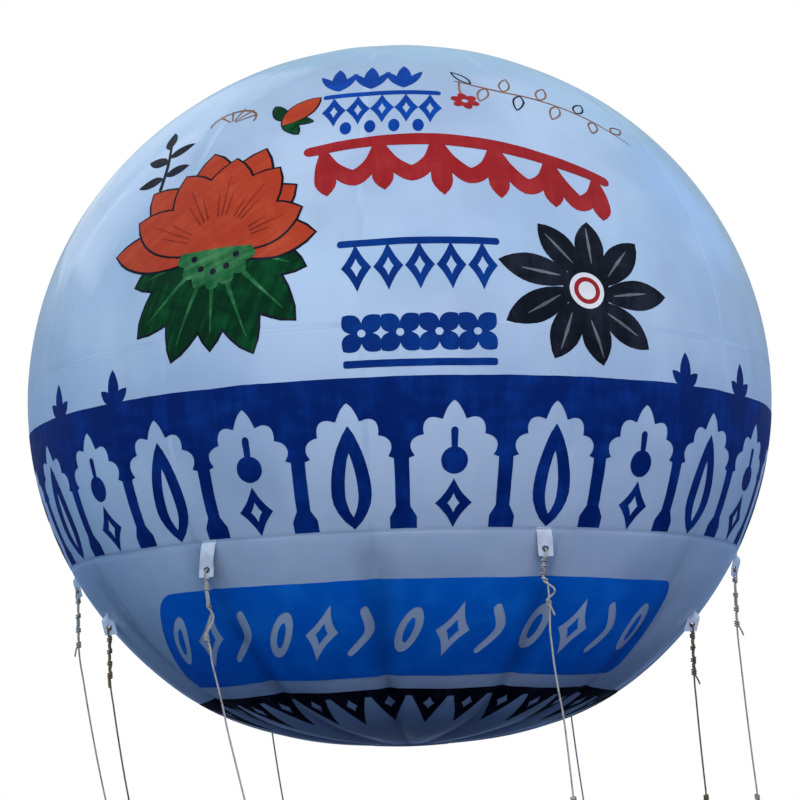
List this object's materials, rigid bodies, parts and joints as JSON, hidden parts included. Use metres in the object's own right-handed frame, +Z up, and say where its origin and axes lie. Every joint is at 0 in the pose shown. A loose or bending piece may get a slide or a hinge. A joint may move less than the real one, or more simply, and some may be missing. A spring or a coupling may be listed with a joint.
{
  "type": "advertising sky balloon",
  "caption": "Round inflated advertising balloon: a film envelope of vertical gores with hanging rope tabs, eyelets, knotted tether ropes and a tied filling neck.",
  "frame": {"origin": "centre of the inflated envelope, where the air holds it", "axes": "+Z up along the envelope's axis from the bottom cap to the top cap, front towards -Y, +X to the viewer's right"},
  "size_m": [3.6496, 3.6496, 3.853],
  "materials": {
    "film": "smooth glossy film",
    "patch": "smooth glossy film, welded",
    "tab": "coated cloth strip, satin",
    "eyelet": "dull rolled brass",
    "rope": "twisted pale cord",
    "cord": "twisted cord"
  },
  "bodies": {
    "root": {"gore_01": "film", "gore_02": "film", "gore_03": "film", "gore_04": "film", "gore_05": "film", "gore_06": "film", "gore_07": "film", "gore_08": "film", "gore_09": "film", "gore_10": "film", "gore_11": "film", "gore_12": "film", "top_cap": "patch", "bottom_cap": "patch", "filling_neck": "patch", "neck_tie": "cord", "tab_front_left": "tab", "tab_front_right": "tab", "tab_right": "tab", "tab_rear_right": "tab", "tab_rear_left": "tab", "tab_left": "tab", "tab_low_right": "tab", "tab_low_left": "tab", "eyelet_front_left": "eyelet", "eyelet_front_right": "eyelet", "eyelet_right": "eyelet", "eyelet_rear_right": "eyelet", "eyelet_rear_left": "eyelet", "eyelet_left": "eyelet", "eyelet_low_right": "eyelet", "eyelet_low_left": "eyelet", "rope_front_left": "rope", "rope_front_right": "rope", "rope_right": "rope", "rope_rear_right": "rope", "rope_rear_left": "rope", "rope_left": "rope", "rope_low_right": "rope", "rope_low_left": "rope"}
  },
  "joints": []
}
